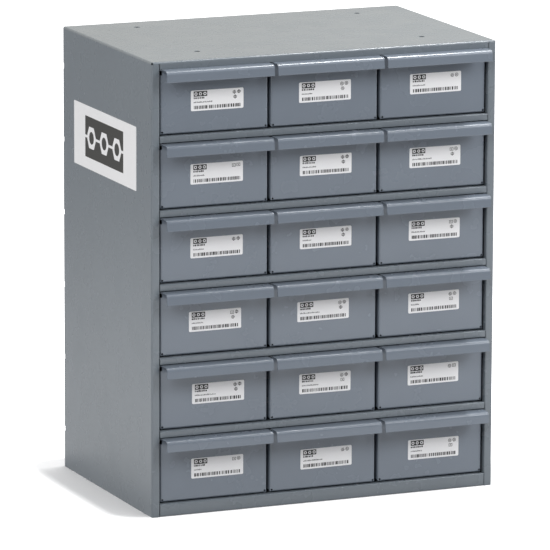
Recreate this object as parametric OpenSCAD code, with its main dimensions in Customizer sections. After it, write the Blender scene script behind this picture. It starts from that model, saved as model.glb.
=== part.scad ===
// Small-parts cabinet: a folded sheet-steel case with eighteen pull-out drawers.
// Millimetres. X runs to the right, Y to the back, Z up. The origin is under the
// middle of the whole cabinet, drawer pulls included, on the surface it stands on.

/* [Layout] */
// Number of drawers side by side
cols = 3; // [3:1:5]
// Number of drawers one above another
rows = 6; // [2:1:7]

/* [Case] */
// Thickness of the case sheet
case_t = 0.9; // [0.7:0.1:1.5]
// Outer radius of the bends of the case
case_bend = 2.6; // [2:0.1:4]
// Width of the front flange of each side wall
side_flange = 10.05; // [8:0.05:14]
// How far the edge of the side flange is turned back into the case
lip_depth = 8; // [6:0.5:11]
// Inner radius of the bend of a turned-back edge
lip_inner = 0.7; // [0.4:0.1:1]
// Room that the shelves and the floor pan leave round the turned-back edges
lip_room = 1.2; // [0.5:0.1:2]
// Height of the front flange of the top
top_flange = 8.6; // [6:0.1:9.5]
// Width of the flange round the open back
rear_flange = 12; // [9:0.5:20]
// Width of the seam between the top flange and a side flange
seam = 0.5; // [0.3:0.1:1]
// Width of the relief hole in each folded corner of the case
case_relief = 2.6; // [2:0.1:3]

/* [Top holes] */
// Diameter of the mounting holes
bolt_d = 7; // [5:0.1:9]
// Distance between the mounting holes, left to right
bolt_dx = 287; // [160:1:300]
// Distance between the mounting holes, front to back
bolt_dy = 190; // [120:1:200]
// How far the middle of the holes lies to the right of the middle of the case
bolt_right = 4; // [-10:1:10]
// How far the middle of the holes lies behind the middle of the case
bolt_behind = 7.5; // [-10:0.5:10]

/* [Notches] */
// Number of notches up each rear corner
notches = 6; // [2:1:8]
// Distance from the middle of the end notches to the ends of the case
notch_end = 47.4; // [30:0.1:60]
// Height of a notch
notch_h = 8.5; // [5:0.5:14]
// Depth of a notch
notch_d = 4; // [3:0.5:6]
// How much a notch narrows at each end
notch_slope = 1.5; // [0:0.1:2]

/* [Floor and shelves] */
// Height of the floor pan's top
base_h = 15.35; // [12:0.05:30]
// Width of the floor pan's turned-in foot flange
foot_flange = 14; // [8:1:30]
// Height of the flanges of a shelf
shelf_flange = 7.6; // [5:0.1:8]
// Outer radius of the bends of the shelves and the floor pan
shelf_bend = 1.6; // [1.6:0.1:2.5]
// Height of the pressed beads that the drawers slide on
bead_h = 1; // [0.6:0.1:2]
// Width of a bead
bead_w = 9; // [6:0.5:14]
// Distance from the side of a drawer in to the middle of its bead
bead_in = 22; // [14:1:30]
// Gap that lets a welded-in piece drop into place
seat_gap = 0.1; // [0.05:0.05:0.3]
// Distance from the inside of the case to the edge of the back panel
back_inset = 3; // [2:0.5:6]

/* [Dividers and guides] */
// Distance from the case front to a divider
divider_set = 12; // [11.5:0.5:24]
// Width of the divider's welding flange
divider_flange = 10; // [6:1:16]
// Length of a divider's locating tab
tab_l = 14; // [8:1:24]
// Distance from a divider's end to its tab
tab_set = 46; // [20:1:70]
// Gap round a tab in its slot
slot_gap = 0.2; // [0.1:0.1:0.5]
// Height of the angle that guides an outer drawer
guide_h = 20; // [10:1:40]

/* [Drawer] */
// Thickness of the drawer sheet
drawer_t = 0.7; // [0.5:0.1:1.2]
// Width of a drawer front
drawer_w = 135.45; // [110:0.05:160]
// Length of a drawer
drawer_l = 279.4; // [246:0.1:330]
// Height of the drawer's side walls
drawer_h = 69.85; // [52:0.05:110]
// Outer radius of the drawer's bends
drawer_bend = 2.5; // [1.8:0.1:4]
// Gap between neighbouring drawer fronts
face_gap = 3.9; // [3:0.1:6]
// Distance from a drawer front back from the case front
recess = 4; // [2:0.5:8]
// Length of the flaps that lap the bottom and the side walls
flap_l = 16; // [8:1:30]
// Gap between a drawer and its beads
rest_gap = 0.2; // [0.1:0.1:0.5]
// Gap behind a closed drawer
rear_gap = 0.55; // [0.3:0.05:3]
// Width of the relief hole in each lower corner of a front
drawer_relief = 2.4; // [1.6:0.1:3]
// Distance from the edges of the front to the middle of the relief hole
relief_set = 2.7; // [2:0.1:4]

/* [Pull] */
// How far the front rises above the side walls, up to the top of the pull
front_rise = 7.55; // [5:0.05:12]
// Depth of the notch in each side of the front, above the flaps
neck_inset = 2.5; // [1:0.1:4]
// Gap between the pull and the shelf flange above it
pull_gap = 1.2; // [0.8:0.1:6]
// How far the pull stands out from the drawer front
pull_out = 21.7; // [16:0.1:30]
// Height of the pull's lip
lip_h = 13.4; // [9:0.1:16]
// How far the foot of the lip springs out past the front bend
lip_out = 0.7; // [0:0.1:1]
// Outer radius of the pull's front bend
pull_bend = 5; // [3:0.1:7]
// Outer radius of the bend at the root of the pull
root_bend = 2; // [1.5:0.1:3]
// Height of the lip's folded edge
hem_h = 6; // [3:0.5:8]
// How far each end of the pull stays back from the edge of the front
pull_inset = 0.4; // [0:0.1:3]

/* [Drawer stop] */
// Distance from the case front to the face that stops a drawer
stop_set = 38.5; // [25:0.5:80]
// Width of a stop tab
stop_w = 16; // [10:1:30]
// How far a stop tab and a drawer's lug pass each other
stop_lap = 4.5; // [2:0.5:6]
// Gap between the lug and the sheet above it
lug_gap = 4.3; // [1:0.1:6]
// Width of the lug
lug_w = 24; // [14:1:50]
// Corner radius of the lug
lug_r = 3; // [1:0.5:6]
// Room round the bend of a stop tab in its window
bend_play = 0.4; // [0.1:0.1:1]
// Length of a stop clip's welded foot
clip_foot = 12; // [8:1:20]

/* [Labels] */
// Thickness of the label and decal stock
label_t = 0.15; // [0.1:0.05:0.3]
// Width of a drawer label
label_w = 66; // [40:1:90]
// Height of a drawer label
label_h = 24; // [14:1:30]
// Corner radius of a drawer label
label_r = 1.5; // [0.5:0.5:4]
// Distance from the left edge of the front to the label
label_set = 38; // [10:1:40]
// Height of the label's lower edge above the drawer's bottom
label_rise = 26.5; // [10:0.5:32]

/* [Side decal] */
// Length of the decal
decal_l = 200; // [100:1:220]
// Height of the decal
decal_h = 76; // [40:1:120]
// Distance from the case front to the decal
decal_set = 48; // [20:1:60]
// Distance from the top of the case down to the decal
decal_drop = 83; // [20:1:160]

/* [Hidden] */
$fn = 96;
eps = 1;                       // how far a cut runs past what it cuts
lap = 0.5;                     // how far a bend runs on into the flat sheet beside it

pitch_x = drawer_w + face_gap;
seat_h = bead_h + rest_gap;    // height of a drawer's own bottom above its shelf
bay_h = seat_h + drawer_h + front_rise + pull_gap + shelf_flange;
case_w = cols * pitch_x + 2 * side_flange;
case_h = base_h + rows * bay_h;
case_d = recess + drawer_l + rear_gap + 2 * case_t;
y_front = -(case_d + pull_out - recess) / 2 + pull_out - recess;
y_back = y_front + case_d;
y_face = y_front + recess;

inside_x = case_w / 2 - case_t;            // inner face of a side wall
opening_x = case_w / 2 - side_flange;      // inner edge of a side flange
bay_x = cols * pitch_x / 2;                // outer edge of the outer bays
y_panel = y_back - 2 * case_t;             // front face of the back panel
lip_bend = case_t + lip_inner;             // outer radius of a turned-back edge
front_x = opening_x - seam;                // half width of a piece between the flanges
notch_pitch = (case_h - 2 * notch_end) / (notches - 1);

trough_z = drawer_t + seat_gap;            // underside of the trough above the drawer's own bottom
trough_x = drawer_w / 2 - trough_z;        // half the outside width of the trough
face_h = drawer_h + front_rise;            // height of a front above its own bottom
root_z = face_h - root_bend;               // where the front starts to fold into the pull
neck_x = drawer_w / 2 - neck_inset;        // half width of the front above its flaps
pull_w = drawer_w - 2 * pull_inset;
pull_reach = pull_out - lip_out - pull_bend;   // from the front's face to the middle of the front bend
lip_run = lip_h - pull_bend - drawer_t;    // from the front bend down to the fold of the hem
hem_run = hem_h - drawer_t;                // from that fold up to the edge of the sheet
lug_h = bay_h - case_t - lug_gap - seat_h; // height of the lug above the drawer's own bottom
stop_y = y_front + stop_set;               // the face of a stop tab that meets the lug
stop_z = lug_h + seat_h - stop_lap;        // bottom of a stop tab above the shelf
tab_drop = bay_h - stop_z;                 // length of a stop tab below the sheet's top

function col_x(c) = (c - (cols + 1) / 2) * pitch_x;
function shelf_z(r) = base_h + (rows - r) * bay_h;   // row 1 is the top row
function divider_x(c) = (c - cols / 2) * pitch_x;
function tab_places() = [y_front + divider_set + tab_set, y_panel - seat_gap - tab_set - tab_l];
function bin_name(what, r, c) = str(what, "_r", r, "c", c);

// ---- Helpers -------------------------------------------------------------

// Extrusions of a flat outline along each axis, from a to b.
module along_x(a, b) { translate([a, 0, 0]) rotate([90, 0, 90]) linear_extrude(b - a) children(); }
module along_y(a, b) { translate([0, b, 0]) rotate([90, 0, 0]) linear_extrude(b - a) children(); }
module along_z(a, b) { translate([0, 0, a]) linear_extrude(b - a) children(); }

// A box from its two opposite corners.
module block(a, b) { translate(a) cube(b - a); }

// A rectangle from a to b. rounded picks which corners are rounded, from the
// lower left round to the upper left.
module panel(a, b, r, rounded = [1, 1, 1, 1]) {
    mid = (a + b) / 2;
    corners = [a, [b.x, a.y], b, [a.x, b.y]];
    difference() {
        translate(a) square(b - a);
        for (i = [0:3]) if (rounded[i] == 1) {
            way = [sign(mid.x - corners[i].x), sign(mid.y - corners[i].y)];
            translate(corners[i]) facing(way) difference() {
                translate([-eps, -eps]) square(r + eps);
                translate([r, r]) circle(r);
            }
        }
    }
}

// Turns a corner shape made for the lower left towards the given quadrant.
module facing(way) {
    mirror([way.x < 0 ? 1 : 0, 0, 0]) mirror([0, way.y < 0 ? 1 : 0, 0]) children();
}

// The band of a sheet of thickness t round a bend of outer radius r that fills
// the lower left quadrant of its centre. It runs straight on a little at each end.
module bend(r, t) {
    intersection() {
        difference() {
            circle(r);
            circle(r - t);
        }
        translate([-r, -r]) square(r);
    }
    translate([-r, 0]) square([t, lap]);
    translate([0, -r]) square([lap, t]);
}

// A box from a to b with its folded edges rounded: the upright edges, and the
// lower (ends [1, 0]) or upper (ends [0, 1]) level ones.
module folded_box(a, b, r, ends, upright = [1, 1, 1, 1]) {
    level = [ends[0], ends[0], ends[1], ends[1]];
    intersection() {
        along_z(a.z, b.z) panel([a.x, a.y], [b.x, b.y], r, upright);
        along_y(a.y, b.y) panel([a.x, a.z], [b.x, b.z], r, level);
        along_x(a.x, b.x) panel([a.y, a.z], [b.y, b.z], r, level);
    }
}

// Children, and their mirror image across the middle of the cabinet.
module both_sides() {
    children();
    mirror([1, 0, 0]) children();
}

// ---- Case ----------------------------------------------------------------

// The outside of the wrapper, or with inset = case_t its inside.
module wrapper_body(inset) {
    folded_box([-case_w / 2 + inset, y_front + inset, inset > 0 ? -eps : 0],
               [case_w / 2 - inset, y_back - inset, case_h - inset],
               case_bend - inset, [0, 1]);
}

// Front and rear openings, the seams beside the top flange, and the corner reliefs.
module wrapper_openings() {
    block([-opening_x - lip_bend, y_front - eps, -eps],
          [opening_x + lip_bend, y_front + case_bend, case_h - top_flange]);
    block([-case_w / 2 + rear_flange, y_back - case_bend, -eps],
          [case_w / 2 - rear_flange, y_back + eps, case_h - rear_flange]);
    both_sides() {
        block([front_x, y_front - eps, case_h - top_flange - eps],
              [opening_x + lip_bend, y_front + case_bend, case_h - case_bend]);
        for (y = [y_front, y_back])
            translate([case_w / 2, y, case_h]) rotate([0, 0, y > 0 ? 45 : -45])
                rotate([0, 45, 0]) cylinder(d = case_relief, h = 4 * case_bend, center = true);
    }
}

// The turned-back inner edge of the right side flange.
module side_lip() {
    along_z(0, case_h - case_bend - seam) {
        translate([opening_x + lip_bend, y_front + lip_bend]) bend(lip_bend, case_t);
        translate([opening_x, y_front + lip_bend]) square([case_t, lip_depth - lip_bend]);
    }
}

// The row of notches cut through the right rear corner.
module corner_notches() {
    for (i = [0:notches - 1]) {
        z = case_h / 2 + (i - (notches - 1) / 2) * notch_pitch;
        along_x(case_w / 2 - notch_d, case_w / 2 + eps)
            polygon([[y_back - notch_d, z - notch_h / 2 + notch_slope],
                     [y_back + eps, z - notch_h / 2],
                     [y_back + eps, z + notch_h / 2],
                     [y_back - notch_d, z + notch_h / 2 - notch_slope]]);
    }
}

// Four upright holes through a level sheet that lies between z - depth and z.
module bolt_holes(z, depth) {
    y_mid = y_front + case_d / 2 + bolt_behind;
    for (x = [-1, 1], y = [-1, 1])
        translate([bolt_right + x * bolt_dx / 2, y_mid + y * bolt_dy / 2, z - depth - eps])
            cylinder(d = bolt_d, h = depth + 2 * eps);
}

module case_wrapper() color([0.42, 0.46, 0.50]) {
    difference() {
        wrapper_body(0);
        wrapper_body(case_t);
        wrapper_openings();
        both_sides() corner_notches();
        bolt_holes(case_h, case_t);
    }
    both_sides() side_lip();
}

// The corners that a piece between the side flanges leaves free for their lips.
module lip_clearance(z0, z1) {
    both_sides() block([front_x, y_front - eps, z0 - eps],
                       [case_w / 2, y_front + lip_depth + lip_room, z1 + eps]);
}

// Slots for the tabs of the dividers that stand on the sheet with its top at z.
module divider_slots(z) {
    for (c = [1:cols - 1], y = tab_places())
        translate([divider_x(c) - case_t / 2 - slot_gap, y - slot_gap, z - case_t - eps])
            cube([case_t + 2 * slot_gap, tab_l + 2 * slot_gap, case_t + 2 * eps]);
}

// The beads pressed up from the sheet with its top at z, two under each drawer,
// or with inset = case_t the hollows below them.
module beads(z, inset) {
    r = bead_w / 3 - inset;
    far = bead_w / 2 - inset;
    for (c = [1:cols], side = [-1, 1]) {
        x = col_x(c) + side * (drawer_w / 2 - bead_in);
        along_z(inset > 0 ? z - 2 * case_t : z - case_t / 2, z + bead_h - inset)
            panel([x - far, y_face + flap_l / 2 + inset],
                  [x + far, y_face + drawer_l - flap_l / 2 - inset], r);
    }
}

module floor_pan() color([0.40, 0.44, 0.48]) {
    x = inside_x - seat_gap;
    y = y_panel - seat_gap;
    difference() {
        union() {
            folded_box([-x, y_front, 0], [x, y, base_h], shelf_bend, [1, 1]);
            beads(base_h, 0);
        }
        folded_box([-x + case_t, y_front + case_t, case_t], [x - case_t, y - case_t, base_h - case_t],
                   shelf_bend - case_t, [1, 1]);
        block([-x + foot_flange, y_front + foot_flange, -eps],
              [x - foot_flange, y - foot_flange, 2 * case_t]);
        lip_clearance(0, base_h);
        beads(base_h, case_t);
        divider_slots(base_h);
        bolt_holes(base_h, case_t);
    }
}

module back_panel() color([0.38, 0.42, 0.46])
    block([-inside_x + back_inset, y_panel, back_inset],
          [inside_x - back_inset, y_panel + case_t, case_h - case_t - back_inset]);

// A shelf with its top at z: flanges down at the front and sides, stop tabs
// bent down over the middle of each bay.
module shelf(z) color([0.41, 0.45, 0.49]) {
    x = inside_x - seat_gap;
    y = y_panel - seat_gap;
    low = z - shelf_flange;
    difference() {
        union() {
            folded_box([-x, y_front, low], [x, y, z], shelf_bend, [0, 1], [1, 1, 0, 0]);
            beads(z, 0);
        }
        folded_box([-x + case_t, y_front + case_t, low - eps], [x - case_t, y + eps, z - case_t],
                   shelf_bend - case_t, [0, 1], [1, 1, 0, 0]);
        block([-x - eps, y - shelf_bend, low - eps], [x + eps, y + eps, z + eps]);
        lip_clearance(low, z);
        beads(z, case_t);
        divider_slots(z);
        for (c = [1:cols]) stop_window(col_x(c), z);
    }
    for (c = [1:cols]) stop_tab(col_x(c), z);
}

// The hole that a stop tab leaves in its sheet.
module stop_window(x, z) {
    block([x - stop_w / 2 - bend_play, stop_y - shelf_bend, z - case_t - eps],
          [x + stop_w / 2 + bend_play, stop_y - shelf_bend + tab_drop, z + eps]);
}

// A tab bent down from a sheet with its top at z, its rear face at stop_y.
module stop_tab(x, z, drop = tab_drop) {
    along_x(x - stop_w / 2, x + stop_w / 2) {
        translate([stop_y - shelf_bend, z - shelf_bend]) rotate(180) bend(shelf_bend, case_t);
        translate([stop_y - case_t, z - drop]) square([case_t, drop - shelf_bend]);
    }
}

// Folded angles under the top, which stop the drawers of the top row.
module top_stop_clips() color([0.39, 0.43, 0.47])
    for (c = [1:cols]) {
        stop_tab(col_x(c), case_h - case_t, tab_drop - case_t);
        block([col_x(c) - stop_w / 2, stop_y - shelf_bend - clip_foot, case_h - 2 * case_t],
              [col_x(c) + stop_w / 2, stop_y - shelf_bend, case_h - case_t]);
    }

// The upright plates between column c and the next, one in each row, each with
// a welding flange along the top and two tabs into the sheet below.
module dividers(c) color([0.39, 0.43, 0.47])
    for (r = [1:rows]) {
        x = divider_x(c) - case_t / 2;
        low = shelf_z(r);
        high = low + bay_h - case_t;
        along_y(y_front + divider_set, y_panel - seat_gap) {
            translate([x, low]) square([case_t, bay_h - case_t - shelf_bend]);
            translate([x + shelf_bend, high - shelf_bend]) rotate(-90) bend(shelf_bend, case_t);
            translate([x + shelf_bend, high - case_t]) square([divider_flange - shelf_bend, case_t]);
        }
        for (y = tab_places())
            block([x, y, low - case_t], [x + case_t, y + tab_l, low + eps]);
    }

// The angles that guide the outer side of the right-hand drawers, one on each
// shelf: the upright leg stands where the next divider would.
module guides_right() color([0.39, 0.43, 0.47])
    for (r = [1:rows]) {
        x = bay_x - case_t / 2;
        low = shelf_z(r);
        along_y(y_front + divider_set, y_panel - seat_gap) {
            translate([x, low + shelf_bend]) square([case_t, guide_h - shelf_bend]);
            translate([x + shelf_bend, low + shelf_bend]) bend(shelf_bend, case_t);
            translate([x + shelf_bend, low])
                square([inside_x - seat_gap - x - shelf_bend, case_t]);
        }
    }

module guides_left() mirror([1, 0, 0]) guides_right();

// ---- Drawer --------------------------------------------------------------

// The outline of the pull seen from the side, with the front's outer face at
// y = 0: the sheet folds forwards at the top of the front and ends in a hemmed lip.
module pull_outline() {
    translate([drawer_t - root_bend, root_z]) rotate(180) bend(root_bend, drawer_t);
    translate([-pull_reach, face_h - drawer_t])
        square([pull_reach + drawer_t - root_bend, drawer_t]);
    translate([-pull_reach, face_h - pull_bend]) {
        rotate(-90) bend(pull_bend, drawer_t);
        lip_outline();
    }
}

// The lip below the front bend, with the middle of that bend as its origin: it
// leans out to its foot, where the sheet is folded back up behind it.
module lip_outline() {
    inner = drawer_t - pull_bend;
    edge = inner - lip_out * (1 - hem_run / lip_run);
    foot = inner - lip_out;
    polygon([[-pull_bend, 0], [foot - drawer_t, -lip_run], [foot + drawer_t, -lip_run],
             [edge + drawer_t, hem_run - lip_run], [edge, hem_run - lip_run],
             [inner, -lap], [inner, 0]]);
    intersection() {
        translate([foot, -lip_run]) circle(drawer_t);
        translate([foot - pull_bend, -lip_run - pull_bend]) square([2 * pull_bend, pull_bend]);
    }
}

// The raised lug in the middle of the rear wall, seen from behind.
module lug_outline() {
    panel([-lug_w / 2, drawer_h - lug_r - eps], [lug_w / 2, lug_h], lug_r, [0, 0, 1, 1]);
}

// The sheet at one end of a drawer, its outer face at y = 0. Flaps fold back
// from it and lap round the outside of the trough; they stop short of the
// lower corners, so that they clear each other when folded.
module end_sheet() {
    difference() {
        folded_box([-drawer_w / 2, 0, 0], [drawer_w / 2, 2 * flap_l, drawer_h], drawer_bend, [1, 0]);
        folded_box([-drawer_w / 2 + drawer_t, drawer_t, drawer_t],
                   [drawer_w / 2 - drawer_t, 2 * flap_l + eps, drawer_h + eps],
                   drawer_bend - drawer_t, [1, 0]);
        block([-drawer_w, flap_l, -eps], [drawer_w, 3 * flap_l, drawer_h + eps]);
        both_sides() {
            translate([drawer_w / 2 - relief_set, 0, relief_set])
                rotate([90, 0, 0]) cylinder(d = drawer_relief, h = 4 * drawer_t, center = true);
            block([drawer_w / 2 - drawer_bend, drawer_bend, -eps],
                  [drawer_w, flap_l + eps, drawer_bend]);
        }
    }
}

// The front of a drawer with its pull. Above the flaps the front is notched at
// both ends, so that flaps and pull fold clear of each other.
module drawer_front() {
    end_sheet();
    block([-neck_x, 0, drawer_h - eps], [neck_x, drawer_t, root_z]);
    along_x(-pull_w / 2, pull_w / 2) pull_outline();
}

// The rear wall of a drawer with its lug.
module drawer_rear() {
    translate([0, drawer_l, 0]) mirror([0, 1, 0]) end_sheet();
    along_y(drawer_l - drawer_t, drawer_l) lug_outline();
}

// The folded trough that makes the bottom and the side walls of a drawer.
module drawer_trough() {
    along_y(drawer_bend, drawer_l - drawer_bend) difference() {
        panel([-trough_x, trough_z], [trough_x, drawer_h], drawer_bend, [1, 1, 0, 0]);
        panel([-trough_x + drawer_t, trough_z + drawer_t], [trough_x - drawer_t, drawer_h + eps],
              drawer_bend - drawer_t, [1, 1, 0, 0]);
    }
}

// A drawer: three sheets, spot-welded where they lap.
module drawer(r, c) color([0.45, 0.50, 0.56])
    translate([col_x(c), y_face, shelf_z(r) + seat_h]) {
        drawer_front();
        drawer_trough();
        drawer_rear();
    }

module label(r, c) color([0.93, 0.93, 0.94])
    translate([col_x(c) - drawer_w / 2 + label_set, y_face, shelf_z(r) + seat_h + label_rise])
        along_y(-label_t, 0) panel([0, 0], [label_w, label_h], label_r);

module side_decal() color([0.90, 0.90, 0.91])
    along_x(-case_w / 2 - label_t, -case_w / 2)
        panel([y_front + decal_set, case_h - decal_drop - decal_h],
              [y_front + decal_set + decal_l, case_h - decal_drop], label_r);

// ---- Nodes ---------------------------------------------------------------

case_wrapper();
floor_pan();
back_panel();
for (r = [1:rows - 1]) shelf(shelf_z(r));
for (c = [1:cols - 1]) dividers(c);
guides_left();
guides_right();
top_stop_clips();
side_decal();
for (r = [1:rows], c = [1:cols])
    drawer(r, c);
for (r = [1:rows], c = [1:cols])
    label(r, c);
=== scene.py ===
"""Looks of a steel small-parts cabinet: a folded case with eighteen pull-out bins.

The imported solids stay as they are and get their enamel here. The stickers on the
bins, everything printed on them and the print of the side decal are made here.
Lengths are in metres, in the cabinet's own frame: X to the right, Y to the back,
Z up, with the floor at zero.
"""

import math
import random

import bmesh
import bpy
from mathutils import Matrix, Vector


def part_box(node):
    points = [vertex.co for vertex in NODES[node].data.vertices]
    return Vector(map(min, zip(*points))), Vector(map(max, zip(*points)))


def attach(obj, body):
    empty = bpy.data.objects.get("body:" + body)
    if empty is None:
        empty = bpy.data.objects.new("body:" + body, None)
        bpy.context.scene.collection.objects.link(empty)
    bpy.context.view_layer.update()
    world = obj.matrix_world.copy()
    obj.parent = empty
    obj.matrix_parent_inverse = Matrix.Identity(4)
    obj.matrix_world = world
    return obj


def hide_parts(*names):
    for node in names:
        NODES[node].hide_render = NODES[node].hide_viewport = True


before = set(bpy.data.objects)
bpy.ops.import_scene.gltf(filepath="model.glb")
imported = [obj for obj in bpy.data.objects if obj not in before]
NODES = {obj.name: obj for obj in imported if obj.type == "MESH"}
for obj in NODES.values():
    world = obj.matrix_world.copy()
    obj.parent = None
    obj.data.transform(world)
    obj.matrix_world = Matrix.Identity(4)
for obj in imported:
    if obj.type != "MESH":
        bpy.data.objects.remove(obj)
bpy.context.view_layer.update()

MM = 0.001
LABELS = sorted(name for name in NODES if name.startswith("label_"))


# ---- Node helpers -----------------------------------------------------------

# Mix and Random Value nodes have a socket of each kind under the same name, so these
# are found by number: a Mix node's two colours and its result, and a Random Value
# node's two plain numbers and its result.
COLOR_OFF, COLOR_ON, COLOR_RESULT = 6, 7, 2
RANDOM_LOW, RANDOM_HIGH, RANDOM_RESULT = 2, 3, 1

NOISE_MIDDLE = (0.3, 0.7)                # nearly all of a noise lies between these


def feed(tree, socket, value):
    """Links an output to a socket, or sets a plain value on it."""
    if isinstance(value, bpy.types.NodeSocket):
        tree.links.new(value, socket)
    else:
        socket.default_value = value


def join_math(tree, operation, a, b):
    """The result of one operation on two numbers."""
    node = tree.nodes.new("ShaderNodeMath")
    node.operation = operation
    feed(tree, node.inputs[0], a)
    feed(tree, node.inputs[1], b)
    return node.outputs[0]


def join_vectors(tree, operation, a, b=None):
    """The result of one operation on two vectors, or on one alone."""
    node = tree.nodes.new("ShaderNodeVectorMath")
    node.operation = operation
    feed(tree, node.inputs[0], a)
    if b is not None:
        feed(tree, node.inputs[1], b)
    gives_number = operation in ("DOT_PRODUCT", "LENGTH")
    return node.outputs["Value" if gives_number else "Vector"]


def scale_vector(tree, vector, amount):
    """A vector or colour times a number."""
    node = tree.nodes.new("ShaderNodeVectorMath")
    node.operation = "SCALE"
    feed(tree, node.inputs[0], vector)
    feed(tree, node.inputs["Scale"], amount)
    return node.outputs["Vector"]


def choose(tree, mask, off, on):
    """One number where the mask is 0, another where it is 1."""
    node = tree.nodes.new("ShaderNodeMix")
    feed(tree, node.inputs["Factor"], mask)
    feed(tree, node.inputs["A"], off)
    feed(tree, node.inputs["B"], on)
    return node.outputs["Result"]


def choose_color(tree, mask, off, on):
    """One colour where the mask is 0, another where it is 1."""
    node = tree.nodes.new("ShaderNodeMix")
    node.data_type = "RGBA"
    feed(tree, node.inputs["Factor"], mask)
    feed(tree, node.inputs[COLOR_OFF], (*off, 1))
    feed(tree, node.inputs[COLOR_ON], (*on, 1))
    return node.outputs[COLOR_RESULT]


def smooth_step(tree, value, low, high):
    """0 up to low and 1 from high, with a soft change between them."""
    node = tree.nodes.new("ShaderNodeMapRange")
    node.interpolation_type = "SMOOTHSTEP"
    feed(tree, node.inputs["Value"], value)
    feed(tree, node.inputs["From Min"], low)
    feed(tree, node.inputs["From Max"], high)
    return node.outputs["Result"]


def add_noise(tree, place, waves, detail=2.0, roughness=0.5):
    """A noise texture; waves says how many of its waves lie in a metre."""
    noise = tree.nodes.new("ShaderNodeTexNoise")
    feed(tree, noise.inputs["Vector"], place)
    feed(tree, noise.inputs["Scale"], waves)
    feed(tree, noise.inputs["Detail"], detail)
    feed(tree, noise.inputs["Roughness"], roughness)
    return noise.outputs["Fac"]


def spread(tree, noise, low, high):
    """Stretches the middle of a noise, so that it runs from low to high."""
    node = tree.nodes.new("ShaderNodeMapRange")
    feed(tree, node.inputs["Value"], noise)
    feed(tree, node.inputs["From Min"], NOISE_MIDDLE[0])
    feed(tree, node.inputs["From Max"], NOISE_MIDDLE[1])
    feed(tree, node.inputs["To Min"], low)
    feed(tree, node.inputs["To Max"], high)
    return node.outputs["Result"]


def add_bump(tree, height, depth):
    """A bump node; depth is how high the surface rises where the height is 1."""
    node = tree.nodes.new("ShaderNodeBump")
    feed(tree, node.inputs["Distance"], depth)
    feed(tree, node.inputs["Height"], height)
    return node


def new_group(name, kind, inputs, outputs):
    """A node group with named sockets; returns it with its input and output nodes."""
    group = bpy.data.node_groups.new(name, kind)
    for label, socket_kind, value in inputs:
        socket = group.interface.new_socket(label, in_out="INPUT", socket_type=socket_kind)
        if value is not None:
            socket.default_value = value
    for label, socket_kind in outputs:
        group.interface.new_socket(label, in_out="OUTPUT", socket_type=socket_kind)
    return group, group.nodes.new("NodeGroupInput"), group.nodes.new("NodeGroupOutput")


def place_group(tree, group, **values):
    """Puts a group in a tree; an underscore in a keyword stands for a space."""
    node = tree.nodes.new("ShaderNodeGroup")
    node.node_tree = group
    for label, value in values.items():
        feed(tree, node.inputs[label.replace("_", " ")], value)
    return node


def new_material(name):
    """A material with its node tree and its Principled shader."""
    material = bpy.data.materials.new(name)
    material.use_nodes = True
    tree = material.node_tree
    return material, tree, tree.nodes["Principled BSDF"]


# ---- Finishes ---------------------------------------------------------------

CASE_GREY = (0.150, 0.174, 0.198)
DRAWER_BLUE = (0.153, 0.180, 0.218)
PAPER_WHITE = (0.80, 0.80, 0.815)
VINYL_WHITE = (0.81, 0.81, 0.82)
INK_BLACK = (0.012, 0.012, 0.013)
INK_CHARCOAL = (0.022, 0.022, 0.021)

# How fine the patterns in a finish are, in waves per metre.
DRIFT_WAVES = 5.0                        # broad drifts of the enamel's tone
GLOSS_WAVES = 26.0                       # its duller and glossier places
GRAIN_WAVES = 900.0                      # its finest grain
CLOUD_WAVES = 30.0                       # soft clouds of tone in paper and film

GRAIN_TONES = (0.99, 1.01)               # the enamel's grain, darkest and lightest
FIBRE_GLOSS = 0.05                       # how much smoother the smoothest fibre is

FINISH_SOCKETS = [("Color", "NodeSocketColor"), ("Roughness", "NodeSocketFloat"),
                  ("Normal", "NodeSocketVector")]


def make_enamel_group():
    """Sprayed enamel on sheet steel: faint drifts of tone, fine orange peel and the
    slow waviness of a thin sheet."""
    group, given, result = new_group(
        "sprayed_enamel", "ShaderNodeTree",
        [("Color", "NodeSocketColor", None), ("Tone Spread", "NodeSocketFloat", 0.03),
         ("Gloss Low", "NodeSocketFloat", 0.3), ("Gloss High", "NodeSocketFloat", 0.4),
         ("Peel Waves", "NodeSocketFloat", 420.0), ("Peel Depth", "NodeSocketFloat", 0.007 * MM),
         ("Sheet Waves", "NodeSocketFloat", 9.0), ("Sheet Depth", "NodeSocketFloat", 0.4 * MM)],
        FINISH_SOCKETS)
    place = group.nodes.new("ShaderNodeTexCoord").outputs["Object"]
    drift = add_noise(group, place, DRIFT_WAVES, detail=3.0, roughness=0.55)
    grain = add_noise(group, place, GRAIN_WAVES, detail=1.0)
    darkest = join_math(group, "SUBTRACT", 1.0, given.outputs["Tone Spread"])
    lightest = join_math(group, "ADD", 1.0, given.outputs["Tone Spread"])
    tone = join_math(group, "MULTIPLY", spread(group, drift, darkest, lightest),
                     spread(group, grain, *GRAIN_TONES))
    feed(group, result.inputs["Color"], scale_vector(group, given.outputs["Color"], tone))

    gloss = add_noise(group, place, GLOSS_WAVES, detail=3.0, roughness=0.6)
    feed(group, result.inputs["Roughness"],
         spread(group, gloss, given.outputs["Gloss Low"], given.outputs["Gloss High"]))

    sheet_height = add_noise(group, place, given.outputs["Sheet Waves"], detail=1.0)
    sheet = add_bump(group, sheet_height, given.outputs["Sheet Depth"])
    peel_height = add_noise(group, place, given.outputs["Peel Waves"])
    peel = add_bump(group, peel_height, given.outputs["Peel Depth"])
    feed(group, peel.inputs["Normal"], sheet.outputs["Normal"])
    feed(group, result.inputs["Normal"], peel.outputs["Normal"])
    return group


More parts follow.
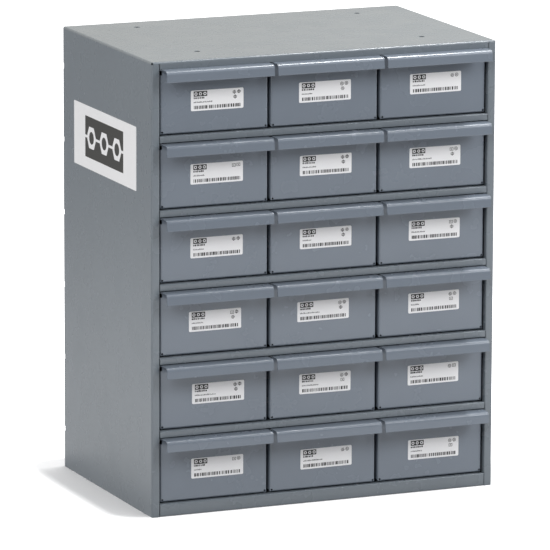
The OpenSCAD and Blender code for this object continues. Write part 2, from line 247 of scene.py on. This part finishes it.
def make_stock_group():
    """Paper and film stock: a fine fibre that shows in tone and surface."""
    group, given, result = new_group(
        "print_stock", "ShaderNodeTree",
        [("Color", "NodeSocketColor", None), ("Fibre Waves", "NodeSocketFloat", 700.0),
         ("Fibre Depth", "NodeSocketFloat", 0.01 * MM), ("Tone Spread", "NodeSocketFloat", 0.015),
         ("Gloss", "NodeSocketFloat", 0.5)],
        FINISH_SOCKETS)
    place = group.nodes.new("ShaderNodeTexCoord").outputs["Object"]
    fibre = add_noise(group, place, given.outputs["Fibre Waves"], detail=3.0, roughness=0.6)
    cloud = add_noise(group, place, CLOUD_WAVES)
    darkest = join_math(group, "SUBTRACT", 1.0, given.outputs["Tone Spread"])
    tone = spread(group, cloud, darkest, 1.0)
    feed(group, result.inputs["Color"], scale_vector(group, given.outputs["Color"], tone))

    smoothest = join_math(group, "SUBTRACT", given.outputs["Gloss"], FIBRE_GLOSS)
    feed(group, result.inputs["Roughness"],
         spread(group, fibre, smoothest, given.outputs["Gloss"]))

    bump = add_bump(group, fibre, given.outputs["Fibre Depth"])
    feed(group, result.inputs["Normal"], bump.outputs["Normal"])
    return group


def make_finish(name, group, color, **values):
    """A material whose colour, gloss and surface come from one of the two groups."""
    material, tree, shader = new_material(name)
    finish = place_group(tree, group, Color=(*color, 1), **values)
    feed(tree, shader.inputs["Base Color"], finish.outputs["Color"])
    feed(tree, shader.inputs["Roughness"], finish.outputs["Roughness"])
    feed(tree, shader.inputs["Normal"], finish.outputs["Normal"])
    return material


enamel_group = make_enamel_group()
stock_group = make_stock_group()
case_enamel = make_finish("case_enamel", enamel_group, CASE_GREY,
                          Gloss_Low=0.24, Gloss_High=0.30, Sheet_Waves=7.0)
drawer_enamel = make_finish("drawer_enamel", enamel_group, DRAWER_BLUE,
                            Gloss_Low=0.23, Gloss_High=0.29,
                            Sheet_Waves=16.0, Sheet_Depth=0.2 * MM)
inner_enamel = make_finish("inner_enamel", enamel_group, CASE_GREY,
                           Gloss_Low=0.36, Gloss_High=0.46, Tone_Spread=0.05)
label_paper = make_finish("label_paper", stock_group, PAPER_WHITE)
decal_vinyl = make_finish("decal_vinyl", stock_group, VINYL_WHITE, Fibre_Waves=260.0, Gloss=0.42)
label_ink = make_finish("label_ink", stock_group, INK_BLACK, Gloss=0.6)
decal_ink = make_finish("decal_ink", stock_group, INK_CHARCOAL)

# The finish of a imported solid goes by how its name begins. The solids that are not
# named here lie inside the case.
FINISHES = (("drawer_", drawer_enamel), ("label_", label_paper), ("side_decal", decal_vinyl),
            ("case_wrapper", case_enamel), ("floor_pan", case_enamel), ("shelf_", case_enamel))


def finish_of(name):
    """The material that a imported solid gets."""
    for start, finish in FINISHES:
        if name.startswith(start):
            return finish
    return inner_enamel


for name, solid in NODES.items():
    solid.data.materials.clear()
    solid.data.materials.append(finish_of(name))


# ---- Mesh helpers -----------------------------------------------------------

INK_THICK = 0.03 * MM
NUT_SIDES = 6
CORNER_STEPS = 6                         # flats in a rounded corner


def new_object(name, data):
    """A mesh, camera or lamp as an object in the scene."""
    made = bpy.data.objects.new(name, data)
    bpy.context.scene.collection.objects.link(made)
    return made


def close_mesh(bm, name, material):
    """Turns the faces outwards and makes the mesh."""
    bmesh.ops.recalc_face_normals(bm, faces=bm.faces)
    mesh = bpy.data.meshes.new(name)
    bm.to_mesh(mesh)
    bm.free()
    mesh.materials.append(material)
    return mesh


def add_plate(bm, outline, low, high, holes=()):
    """A closed plate with a flat outline in X and Z, from depth low to high along Y."""
    walls = []
    for ring in (outline, *holes):
        near = [bm.verts.new((x, low, z)) for x, z in ring]
        far = [bm.verts.new((x, high, z)) for x, z in ring]
        for i in range(len(ring)):
            after = (i + 1) % len(ring)
            bm.faces.new((near[i], near[after], far[after], far[i]))
        walls.append((near, far))
    for side in zip(*walls):
        edges = [bm.edges.get((vert, ring[(i + 1) % len(ring)]))
                 for ring in side for i, vert in enumerate(ring)]
        bmesh.ops.triangle_fill(bm, edges=edges, use_beauty=True)


def box_outline(left, right, bottom, top):
    """A rectangle with sharp corners."""
    return [(left, bottom), (right, bottom), (right, top), (left, top)]


def round_outline(width, height, radius):
    """A rectangle with rounded corners and its lower left corner at zero."""
    points = []
    corners = ((width - radius, height - radius), (radius, height - radius),
               (radius, radius), (width - radius, radius))
    for quarter, (x, z) in enumerate(corners):
        for i in range(CORNER_STEPS + 1):
            angle = math.pi / 2 * (quarter + i / CORNER_STEPS)
            points.append((x + radius * math.cos(angle), z + radius * math.sin(angle)))
    return points


def ring_outline(center, radius, sides):
    """A regular outline with that many sides."""
    angles = [2 * math.pi * i / sides for i in range(sides)]
    return [(center[0] + radius * math.cos(angle), center[1] + radius * math.sin(angle))
            for angle in angles]


# ---- Rows of printed bars ---------------------------------------------------

WIDTH_DRAW, GAP_DRAW, HEIGHT_DRAW = 0, 101, 202      # keep the three random draws apart


def make_bar_tree():
    """Upright bars of random widths, with random gaps, that fill a given length along X.
    They stand on Z zero, between Y zero and the thickness."""
    tree, given, result = new_group(
        "bar_row", "GeometryNodeTree",
        [("Length", "NodeSocketFloat", 0.06), ("Height", "NodeSocketFloat", 0.004),
         ("Thickness", "NodeSocketFloat", INK_THICK), ("Bars", "NodeSocketInt", 40),
         ("Thinnest", "NodeSocketFloat", 1.0), ("Thickest", "NodeSocketFloat", 4.0),
         ("Narrowest Gap", "NodeSocketFloat", 1.0), ("Widest Gap", "NodeSocketFloat", 4.0),
         ("Shortest", "NodeSocketFloat", 1.0), ("Seed", "NodeSocketInt", 0),
         ("Ink", "NodeSocketMaterial", None)],
        [("Geometry", "NodeSocketGeometry")])
    made = tree.nodes.new
    link = tree.links.new

    def random_value(low, high, draw):
        """A random number for each bar."""
        node = made("FunctionNodeRandomValue")
        feed(tree, node.inputs[RANDOM_LOW], low)
        feed(tree, node.inputs[RANDOM_HIGH], high)
        link(join_math(tree, "ADD", given.outputs["Seed"], draw), node.inputs["Seed"])
        return node.outputs[RANDOM_RESULT]

    def vector_of(x, y, z):
        """Three numbers as one vector."""
        node = made("ShaderNodeCombineXYZ")
        link(x, node.inputs["X"])
        link(y, node.inputs["Y"])
        link(z, node.inputs["Z"])
        return node.outputs[0]

    width = random_value(given.outputs["Thinnest"], given.outputs["Thickest"], WIDTH_DRAW)
    gap = random_value(given.outputs["Narrowest Gap"], given.outputs["Widest Gap"], GAP_DRAW)
    running = made("GeometryNodeAccumulateField")
    link(join_math(tree, "ADD", width, gap), running.inputs[0])
    scale = join_math(tree, "DIVIDE", given.outputs["Length"], running.outputs["Total"])
    middle = join_math(tree, "ADD", running.outputs["Trailing"],
                       join_math(tree, "MULTIPLY", width, 0.5))
    tall = join_math(tree, "MULTIPLY", given.outputs["Height"],
                     random_value(given.outputs["Shortest"], 1.0, HEIGHT_DRAW))
    thick = given.outputs["Thickness"]
    place = vector_of(join_math(tree, "MULTIPLY", middle, scale),
                      join_math(tree, "MULTIPLY", thick, 0.5),
                      join_math(tree, "MULTIPLY", tall, 0.5))
    size = vector_of(join_math(tree, "MULTIPLY", width, scale), thick, tall)

    line = made("GeometryNodeMeshLine")
    link(given.outputs["Bars"], line.inputs["Count"])
    moved = made("GeometryNodeSetPosition")
    link(line.outputs["Mesh"], moved.inputs["Geometry"])
    link(place, moved.inputs["Position"])
    instances = made("GeometryNodeInstanceOnPoints")
    link(moved.outputs["Geometry"], instances.inputs["Points"])
    link(made("GeometryNodeMeshCube").outputs["Mesh"], instances.inputs["Instance"])
    link(size, instances.inputs["Scale"])
    real = made("GeometryNodeRealizeInstances")
    link(instances.outputs[0], real.inputs["Geometry"])
    inked = made("GeometryNodeSetMaterial")
    link(real.outputs[0], inked.inputs["Geometry"])
    link(given.outputs["Ink"], inked.inputs["Material"])
    link(inked.outputs[0], result.inputs["Geometry"])
    return tree


def grow(tree, **values):
    """The plain mesh that a tree makes with these inputs."""
    holder = new_object("holder", bpy.data.meshes.new("holder"))
    modifier = holder.modifiers.new("tree", "NODES")
    modifier.node_group = tree
    for socket in tree.interface.items_tree:
        key = socket.name.replace(" ", "_")
        if socket.item_type == "SOCKET" and socket.in_out == "INPUT" and key in values:
            modifier[socket.identifier] = values[key]
    shown = holder.evaluated_get(bpy.context.evaluated_depsgraph_get())
    mesh = bpy.data.meshes.new_from_object(shown)
    holder.modifiers.remove(modifier)
    bpy.data.objects.remove(holder)
    return mesh


bar_tree = make_bar_tree()


def add_bars(bm, left, bottom, **values):
    """One row of printed bars, with its lower left corner at that X and Z and its back
    at Y zero."""
    mesh = grow(bar_tree, Thickness=INK_THICK, Ink=label_ink, **values)
    mesh.transform(Matrix.Translation((left, -INK_THICK, bottom)))
    bm.from_mesh(mesh)
    bpy.data.meshes.remove(mesh)


# ---- Bin labels -------------------------------------------------------------

# Where the hand that stuck the labels on missed its mark: right, up, in mm.
LABEL_SLIPS = {"label_r1c1": (0.5, -1.0), "label_r1c2": (-2.6, 0.0), "label_r1c3": (0.0, 1.0),
               "label_r2c2": (-1.2, 0.2),
               "label_r3c2": (-0.8, 0.4),
               "label_r4c1": (-1.8, 0.0), "label_r4c2": (-3.6, 0.8),
               "label_r5c1": (2.2, 0.8), "label_r5c2": (-0.8, 0.8),
               "label_r6c1": (1.2, -1.2), "label_r6c2": (1.2, -2.7), "label_r6c3": (1.2, -3.7)}
LABEL_TILT = math.radians(0.35)          # how far a label may be off level
LABEL_CORNER = 1.5 * MM                  # radius of its corners
MARGIN = 3.5 * MM                        # from the label's left edge to its print

CREST_SIZE = (16.9 * MM, 6.2 * MM)       # the dark block at the upper left
CREST_DROP = 1.0 * MM                    # from the label's top edge down to it
CREST_NUTS = 3                           # the pale nuts left open in it
CREST_NUT, CREST_BORE = 2.1 * MM, 1.0 * MM           # their radius and their bore's
BORE_SIDES = 12

# The line drawings of fittings at the upper right. Each is rings, square frames and
# dots, measured in shares of half the picture's size: a ring or dot has its radius and
# its number of sides, and a frame has half its width and half its height.
PICTURES = {
    "nut": {"rings": ((1.0, NUT_SIDES), (0.5, 16))},
    "washer": {"rings": ((0.95, 20), (0.45, 20))},
    "plate": {"frames": ((1.0, 0.8),), "dots": ((0.3, 12),)},
    "block": {"frames": ((0.9, 0.55), (0.35, 0.95))},
}
PICTURE_SIZE = 4.6 * MM
PICTURE_LINE = 0.55 * MM                 # width of its lines
PICTURE_SPOTS = ((11.5, 4.6), (5.8, 4.2))            # left and down from the corner, in mm
EXTRA_SPOT = (10.5, 10.2)                # the same for the third, which some labels have
EXTRA_SHARE = 0.6                        # how likely a label is to have it
EXTRA_PICTURES = ("nut", "plate", "block")           # what it may show

# The three rows of bars: how far each row's foot is below the label's top edge, how
# long it is (from, to, in mm, where that varies), what is added to the label's seed,
# and what the tree of bars is given. Of widths and gaps only the proportions count.
HEADING_DROP, HEADING_LENGTHS = 9.9 * MM, (13, 17)
HEADING_BARS = dict(Height=2.2 * MM, Bars=7, Thinnest=0.9, Thickest=2.2,
                    Narrowest_Gap=0.3, Widest_Gap=0.9, Shortest=0.75)
NOTE_DROP, NOTE_LENGTHS, NOTE_SEED = 14.6 * MM, (9, 27), 7
NOTE_BARS = dict(Height=1.7 * MM, Bars=18, Thinnest=0.9, Thickest=1.0,
                 Narrowest_Gap=0.3, Widest_Gap=0.9, Shortest=0.5)
CODE_DROP, CODE_LENGTH, CODE_SEED = 22.0 * MM, 59.0 * MM, 13
CODE_INSET = 0.3 * MM                    # how far right of the margin it starts
CODE_BARS = dict(Height=4.0 * MM, Bars=30, Thinnest=0.5, Thickest=2.3,
                 Narrowest_Gap=0.4, Widest_Gap=1.5, Shortest=1.0)

FIRST_SEED, SEED_STEP = 11, 40           # one label's seed and how far on the next one's is


def add_crest(bm, top, low, high):
    """The dark block with its row of pale nuts, left open for the paper to show."""
    right, bottom = MARGIN + CREST_SIZE[0], top - CREST_SIZE[1]
    step = CREST_SIZE[0] / CREST_NUTS
    centers = [(MARGIN + step * (i + 0.5), (top + bottom) / 2) for i in range(CREST_NUTS)]
    add_plate(bm, box_outline(MARGIN, right, bottom, top), low, high,
              [ring_outline(center, CREST_NUT, NUT_SIDES) for center in centers])
    for center in centers:
        add_plate(bm, ring_outline(center, CREST_BORE, BORE_SIDES), low, high)


def add_picture(bm, kind, center, low, high):
    """A small line drawing of a plain fitting."""
    half = PICTURE_SIZE / 2
    parts = PICTURES[kind]

    def frame_outline(wide, tall):
        """A rectangle about the picture's middle, of that half width and half height."""
        return box_outline(center[0] - wide, center[0] + wide, center[1] - tall, center[1] + tall)

    for share, sides in parts.get("rings", ()):
        radius = half * share
        add_plate(bm, ring_outline(center, radius, sides), low, high,
                  [ring_outline(center, radius - PICTURE_LINE, sides)])
    for wide_share, tall_share in parts.get("frames", ()):
        wide, tall = half * wide_share, half * tall_share
        add_plate(bm, frame_outline(wide, tall), low, high,
                  [frame_outline(wide - PICTURE_LINE, tall - PICTURE_LINE)])
    for share, sides in parts.get("dots", ()):
        add_plate(bm, ring_outline(center, half * share, sides), low, high)


def print_label(name, seed, width, height):
    """Everything printed on one label, with the label's lower left corner at X and Z zero
    and its face at Y zero."""
    pick = random.Random(seed)
    low, high = -INK_THICK, 0.0
    bm = bmesh.new()
    add_crest(bm, height - CREST_DROP, low, high)
    for left, down in PICTURE_SPOTS:
        add_picture(bm, pick.choice(tuple(PICTURES)),
                    (width - left * MM, height - down * MM), low, high)
    if pick.random() < EXTRA_SHARE:
        left, down = EXTRA_SPOT
        add_picture(bm, pick.choice(EXTRA_PICTURES),
                    (width - left * MM, height - down * MM), low, high)
    add_bars(bm, MARGIN, height - HEADING_DROP, Seed=seed,
             Length=pick.uniform(*HEADING_LENGTHS) * MM, **HEADING_BARS)
    add_bars(bm, MARGIN, height - NOTE_DROP, Seed=seed + NOTE_SEED,
             Length=pick.uniform(*NOTE_LENGTHS) * MM, **NOTE_BARS)
    add_bars(bm, MARGIN + CODE_INSET, height - CODE_DROP, Seed=seed + CODE_SEED,
             Length=CODE_LENGTH, **CODE_BARS)
    return close_mesh(bm, name, label_ink)


def make_label(node, seed):
    """The sticker and its print, which ride with the bin that they are stuck to."""
    place = node.removeprefix("label")
    body = "bin" + place
    corner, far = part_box(node)
    width, height, thick = far.x - corner.x, far.z - corner.z, far.y - corner.y
    slip = LABEL_SLIPS.get(node, (0.0, 0.0))
    tilt = random.Random(seed).uniform(-LABEL_TILT, LABEL_TILT)
    half = Vector((width / 2, 0, height / 2))
    turn = Matrix.Translation(half) @ Matrix.Rotation(tilt, 4, "Y") @ Matrix.Translation(-half)
    shift = Matrix.Translation((corner.x + slip[0] * MM, far.y, corner.z + slip[1] * MM))
    bm = bmesh.new()
    add_plate(bm, round_outline(width, height, LABEL_CORNER), -thick, 0.0)
    sticker = new_object("sticker" + place, close_mesh(bm, "sticker" + place, label_paper))
    sticker.data.transform(shift @ turn)
    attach(sticker, body)
    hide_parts(node)
    ink = new_object("print" + place, print_label("print" + place, seed, width, height))
    ink.data.transform(shift @ Matrix.Translation((0, -thick, 0)) @ turn)
    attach(ink, body)


for number, node in enumerate(LABELS):
    make_label(node, FIRST_SEED + SEED_STEP * number)


# ---- Side decal -------------------------------------------------------------

PANEL_REAR, PANEL_FRONT = 36.6 * MM, 41.0 * MM       # white border at the panel's two ends
PANEL_TOP, PANEL_BOTTOM = 12.6 * MM, 13.9 * MM       # white border above and below it
DECAL_NUTS = 3
DECAL_NUT, DECAL_BORE = 15.0 * MM, 7.6 * MM          # radius of a nut and of its bore
DECAL_BORE_SIDES = 32
RULE_TALL = 3.2 * MM                     # height of the white rule that joins the nuts
RULE_START = 0.99                        # where it meets a nut, as a share of its radius


def make_decal_print():
    """A dark panel with a white row of hexagon nuts on a rule. It is drawn in X and Z
    and then turned onto the left side of the case."""
    low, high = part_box("side_decal")
    left, right = PANEL_REAR, high.y - low.y - PANEL_FRONT
    bottom, top = PANEL_BOTTOM, high.z - low.z - PANEL_TOP
    bm = bmesh.new()
    add_plate(bm, box_outline(left, right, bottom, top), -INK_THICK, 0.0)
    panel_mesh = close_mesh(bm, "decal_panel", decal_ink)

    bm = bmesh.new()
    middle = (bottom + top) / 2
    rule_bottom, rule_top = middle - RULE_TALL / 2, middle + RULE_TALL / 2
    step = (right - left) / DECAL_NUTS
    layer = (-2 * INK_THICK, -INK_THICK)
    for i in range(DECAL_NUTS):
        x = left + step * (i + 0.5)
        add_plate(bm, ring_outline((x, middle), DECAL_NUT, NUT_SIDES), *layer,
                  [ring_outline((x, middle), DECAL_BORE, DECAL_BORE_SIDES)])
        reach = DECAL_NUT * RULE_START
        add_plate(bm, box_outline(x - step / 2, x - reach, rule_bottom, rule_top), *layer)
        add_plate(bm, box_outline(x + reach, x + step / 2, rule_bottom, rule_top), *layer)
    nuts_mesh = close_mesh(bm, "decal_nuts", decal_vinyl)

    turn = Matrix(((0, 1, 0, low.x), (-1, 0, 0, high.y), (0, 0, 1, low.z), (0, 0, 0, 1)))
    for mesh in (panel_mesh, nuts_mesh):
        mesh.transform(turn)
        piece = new_object(mesh.name, mesh)
        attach(piece, "cabinet")


make_decal_print()


# ---- Camera -----------------------------------------------------------------

CAMERA_AZIMUTH = math.radians(-23.059)   # to the left of straight on
CAMERA_ELEVATION = math.radians(11.534)
CAMERA_ROLL = math.radians(0.2003)
CAMERA_DISTANCE = 6.97320
CAMERA_TARGET = Vector((-0.063670, -0.134025, 0.278340))
CAMERA_LENS = 389.890                    # mm
CAMERA_SENSOR = 36.0                     # mm
CAMERA_REACH = 60.0                      # how far it sees


def toward(azimuth, elevation):
    """The direction of a place that far round to the right and that far up."""
    level = math.cos(elevation)
    return Vector((math.sin(azimuth) * level, -math.cos(azimuth) * level, math.sin(elevation)))


def make_camera():
    """A long lens from the front left, a little above, that looks at its target."""
    data = bpy.data.cameras.new("camera")
    data.sensor_width = CAMERA_SENSOR
    data.lens = CAMERA_LENS
    data.clip_end = CAMERA_REACH
    camera = new_object("camera", data)
    back = toward(CAMERA_AZIMUTH, CAMERA_ELEVATION)
    look = (-back).to_track_quat("-Z", "Y").to_matrix() @ Matrix.Rotation(CAMERA_ROLL, 3, "Z")
    camera.matrix_world = Matrix.Translation(CAMERA_TARGET + CAMERA_DISTANCE * back) @ look.to_4x4()
    bpy.context.scene.camera = camera


# ---- Room -------------------------------------------------------------------

ROOM_SEEN = 1.0                          # strength of the room to the eye
ROOM_DARK = 0.12                         # strength of its dark parts in reflections
ROOM_TINT = (1.0, 0.97, 0.88)            # its walls in reflections
WHITE = (1.0, 1.0, 1.0)
# Its bright walls: azimuth and elevation of the middle, at how many degrees from there
# the brightness starts and ends to fade, strength in reflections, strength as light.
ROOM_PANELS = (
    (157, 5, 30, 75, 0.70, 0.50),        # back wall
    (-112, 25, 25, 65, 0.45, 1.08),      # left wall
)


def make_panel_group():
    """One lit part of the room: full round its own direction, then fading out. Full and
    Gone are cosines of the angle between the two directions."""
    group, given, result = new_group(
        "room_panel", "ShaderNodeTree",
        [("Direction", "NodeSocketVector", None), ("Middle", "NodeSocketVector", None),
         ("Full", "NodeSocketFloat", None), ("Gone", "NodeSocketFloat", None)],
        [("Mask", "NodeSocketFloat")])
    near = join_vectors(group, "DOT_PRODUCT", given.outputs["Direction"], given.outputs["Middle"])
    mask = smooth_step(group, near, given.outputs["Gone"], given.outputs["Full"])
    feed(group, result.inputs["Mask"], mask)
    return group


def make_world():
    """A white room to the eye, with its own strengths in reflections and as light."""
    world = bpy.data.worlds.new("room")
    bpy.context.scene.world = world
    world.use_nodes = True
    world.cycles.sampling_method = "NONE"        # so wide a light needs no aimed rays
    tree = world.node_tree
    direction = tree.nodes.new("ShaderNodeTexCoord").outputs["Generated"]
    panel_group = make_panel_group()
    mirrored, light = ROOM_DARK, 0.0
    for azimuth, elevation, full, gone, in_mirror, as_light in ROOM_PANELS:
        panel = place_group(tree, panel_group, Direction=direction,
                            Middle=toward(math.radians(azimuth), math.radians(elevation)),
                            Full=math.cos(math.radians(full)), Gone=math.cos(math.radians(gone)))
        mask = panel.outputs["Mask"]
        mirrored = join_math(tree, "ADD", mirrored, join_math(tree, "MULTIPLY", mask, in_mirror))
        light = join_math(tree, "ADD", light, join_math(tree, "MULTIPLY", mask, as_light))

    path = tree.nodes.new("ShaderNodeLightPath")
    shiny = join_math(tree, "MAXIMUM", path.outputs["Is Glossy Ray"],
                      path.outputs["Is Transmission Ray"])
    strength = choose(tree, shiny, light, mirrored)
    strength = choose(tree, path.outputs["Is Camera Ray"], strength, ROOM_SEEN)
    shade = tree.nodes["Background"]
    feed(tree, shade.inputs["Color"], choose_color(tree, shiny, WHITE, ROOM_TINT))
    feed(tree, shade.inputs["Strength"], strength)


# ---- Floor ------------------------------------------------------------------

FLOOR_SIZE = 24.0
FLOOR_COLOR = (0.86, 0.86, 0.865)
FLOOR_ROUGHNESS = 0.9
FLOOR_BOUNCE = 0.55                      # share of its light that it throws on the cabinet
FOOT_MIDDLE = (0.0, 0.031)               # the cabinet's footprint, without its front edge
FOOT_HALF = (0.220, 0.121)
FRONT_PLANE = 0.15                       # from the cabinet's middle to its front
# How brightly each part of the floor glows in reflections. Reflections see no lit floor, only this
# painted reflection.
FLOOR_PAINTED_SHADE = 0.50                      # painted shade in reflections, beside and behind the cabinet
FLOOR_BESIDE = 1.05                      # past that shade
FLOOR_FAR = 0.42                         # farther out, still beside and behind
FLOOR_FOOT = 1.50                        # close in front of the cabinet
FLOOR_PAINTED_PATCH = 2.60                       # a painted bright patch farther out in front
FLOOR_BEYOND = 0.35                      # past the patch
# Where one part turns into the next: metres from the footprint, from and to.
PLAIN_FADE = (0.03, 0.06)                # to plain white, as the eye sees the floor
PAINTED_SHADE_FADE = (0.0, 0.10)                 # out of the painted shade
FAR_FADE = (0.30, 2.20)                  # to the far part beside and behind
# The same in front of the cabinet: metres out from its front.
PAINTED_PATCH_FADE = (0.20, 0.90)                # into the painted bright patch
BEYOND_FADE = (1.45, 2.10)               # out of it again


def make_floor():
    """A pale floor that keeps the cabinet's shadow and turns plain white farther out. In
    reflections it shows only a painted glow, with a painted shade beside the cabinet and a painted
    bright patch before it.
    """
    half = FLOOR_SIZE / 2
    mesh = bpy.data.meshes.new("floor")
    mesh.from_pydata([(-half, -half, 0), (half, -half, 0), (half, half, 0), (-half, half, 0)],
                     [], [(0, 1, 2, 3)])
    floor = new_object("floor", mesh)
    material, tree, shader = new_material("floor_white")
    mesh.materials.append(material)
    material.cycles.emission_sampling = "NONE"   # it glows to the eye and in reflections only
    feed(tree, shader.inputs["Roughness"], FLOOR_ROUGHNESS)
    feed(tree, shader.inputs["Specular IOR Level"], 0.0)
    feed(tree, shader.inputs["Emission Color"], (*WHITE, 1))
    place = tree.nodes.new("ShaderNodeTexCoord").outputs["Object"]
    path = tree.nodes.new("ShaderNodeLightPath")

    # How far a place is from the footprint.
    away = join_vectors(tree, "SUBTRACT", place, (*FOOT_MIDDLE, 0))
    away = join_vectors(tree, "ABSOLUTE", away)
    away = join_vectors(tree, "SUBTRACT", away, (*FOOT_HALF, 0))
    away = join_vectors(tree, "MAXIMUM", away, (0, 0, 0))
    out = join_vectors(tree, "LENGTH", away)

    # How far it lies before the cabinet's front.
    split = tree.nodes.new("ShaderNodeSeparateXYZ")
    feed(tree, split.inputs[0], place)
    ahead = join_math(tree, "SUBTRACT", -FRONT_PLANE, split.outputs["Y"])

    front = choose(tree, smooth_step(tree, ahead, *PAINTED_PATCH_FADE), FLOOR_FOOT, FLOOR_PAINTED_PATCH)
    front = choose(tree, smooth_step(tree, ahead, *BEYOND_FADE), front, FLOOR_BEYOND)
    rest = choose(tree, smooth_step(tree, out, *FAR_FADE), FLOOR_BESIDE, FLOOR_FAR)
    # Beside and behind the cabinet the glow is weaker close to it: a painted shade in reflections.
    rest = choose(tree, smooth_step(tree, out, *PAINTED_SHADE_FADE), FLOOR_PAINTED_SHADE, rest)
    mirrored = choose(tree, join_math(tree, "LESS_THAN", ahead, 0.0), front, rest)
    # The floor glows for glossy rays only: a painted reflection in place of its lit surface.
    painted_glow = join_math(tree, "MULTIPLY", mirrored, path.outputs["Is Glossy Ray"])
    plain = smooth_step(tree, out, *PLAIN_FADE)
    seen = join_math(tree, "MULTIPLY", plain, path.outputs["Is Camera Ray"])
    feed(tree, shader.inputs["Emission Strength"], join_math(tree, "ADD", seen, painted_glow))

    dull = join_math(tree, "SUBTRACT", 1.0, path.outputs["Is Glossy Ray"])
    kept = choose(tree, path.outputs["Is Camera Ray"], FLOOR_BOUNCE, 1.0)
    share = join_math(tree, "MULTIPLY", kept, dull)
    feed(tree, shader.inputs["Base Color"], scale_vector(tree, FLOOR_COLOR, share))
    return floor


# ---- Lamps ------------------------------------------------------------------

# Azimuth, elevation and distance from the cabinet's middle, width and height, watts.
CABINET_LAMPS = {
    "front_left_softbox": (-45, 32, 3.0, (1.4, 1.4), 38),
    "front_right_softbox": (50, 32, 3.0, (1.4, 1.4), 66),
    "overhead_strip": (82.5, 67.4, 2.2, (0.50, 0.22), 32),
}
FLOOR_LAMPS = {"floor_softbox": (75, 75, 2.6, (2.6, 2.6), 150)}


def make_lamp(name, azimuth, elevation, distance, size, power, lit):
    """A flat lamp that looks at the middle of the cabinet and lights a collection."""
    data = bpy.data.lights.new(name, "AREA")
    data.shape = "RECTANGLE"
    data.size, data.size_y = size
    data.energy = power
    lamp = new_object(name, data)
    middle = Vector((0, 0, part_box("case_wrapper")[1].z / 2))
    way = toward(math.radians(azimuth), math.radians(elevation))
    look = (-way).to_track_quat("-Z", "Y").to_matrix().to_4x4()
    lamp.matrix_world = Matrix.Translation(middle + distance * way) @ look
    lamp.visible_camera = False
    lamp.light_linking.receiver_collection = lit


def light_room(floor):
    """Three lamps light everything but the floor, and one lights the floor alone."""
    floor_only = bpy.data.collections.new("floor_only")
    floor_only.objects.link(floor)
    but_floor = bpy.data.collections.new("all_but_floor")
    but_floor.objects.link(floor)
    but_floor.collection_objects[0].light_linking.link_state = "EXCLUDE"
    for lamps, lit in ((CABINET_LAMPS, but_floor), (FLOOR_LAMPS, floor_only)):
        for name, values in lamps.items():
            make_lamp(name, *values, lit)


# ---- Finish -----------------------------------------------------------------

make_camera()
make_world()
light_room(make_floor())

bpy.context.scene.view_settings.view_transform = "Standard"
